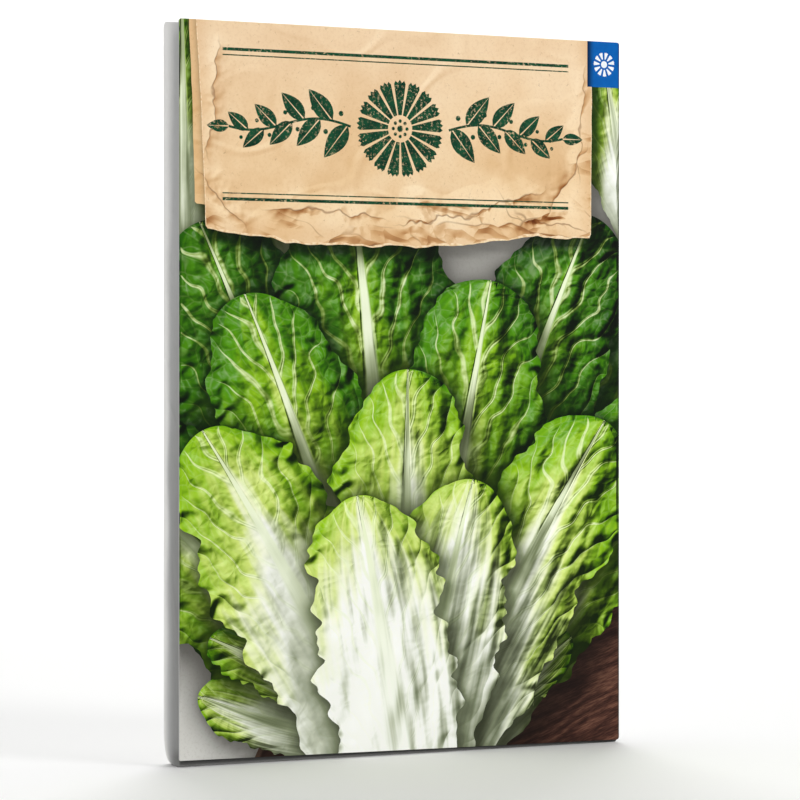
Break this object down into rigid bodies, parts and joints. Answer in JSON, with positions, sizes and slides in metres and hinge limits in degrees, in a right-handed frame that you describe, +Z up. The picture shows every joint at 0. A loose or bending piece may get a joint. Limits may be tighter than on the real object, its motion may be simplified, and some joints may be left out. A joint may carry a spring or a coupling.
{
  "type": "seed packet",
  "caption": "Filled paper seed packet standing on its folded base: flat printed front panel, soft white sides, glued back seam and end flaps, sachet of seed inside.",
  "frame": {"origin": "middle of the folded base, on the surface the packet stands on", "axes": "+Z up along the packet's height; -Y out of the front panel; X across its width"},
  "size_m": [0.11, 0.01, 0.16],
  "materials": {
    "bag_paper": "satin",
    "glue": "satin",
    "sachet_paper": "satin",
    "seed": "matte"
  },
  "bodies": {
    "root": {"outer_bag": "bag_paper", "back_seam_glue": "glue", "bottom_flap_glue": "glue", "top_flap_glue": "glue", "sachet_front_web": "sachet_paper", "sachet_back_web": "sachet_paper", "seed_01": "seed", "seed_02": "seed", "seed_03": "seed", "seed_04": "seed", "seed_05": "seed", "seed_06": "seed", "seed_07": "seed", "seed_08": "seed", "seed_09": "seed", "seed_10": "seed", "seed_11": "seed", "seed_12": "seed", "seed_13": "seed", "seed_14": "seed", "seed_15": "seed", "seed_16": "seed", "seed_17": "seed", "seed_18": "seed", "seed_19": "seed", "seed_20": "seed", "seed_21": "seed", "seed_22": "seed", "seed_23": "seed", "seed_24": "seed", "seed_25": "seed", "seed_26": "seed", "seed_27": "seed", "seed_28": "seed", "seed_29": "seed", "seed_30": "seed", "seed_31": "seed", "seed_32": "seed", "seed_33": "seed", "seed_34": "seed", "seed_35": "seed", "seed_36": "seed", "seed_37": "seed", "seed_38": "seed", "seed_39": "seed", "seed_40": "seed", "seed_41": "seed", "seed_42": "seed", "seed_43": "seed", "seed_44": "seed"}
  },
  "joints": []
}
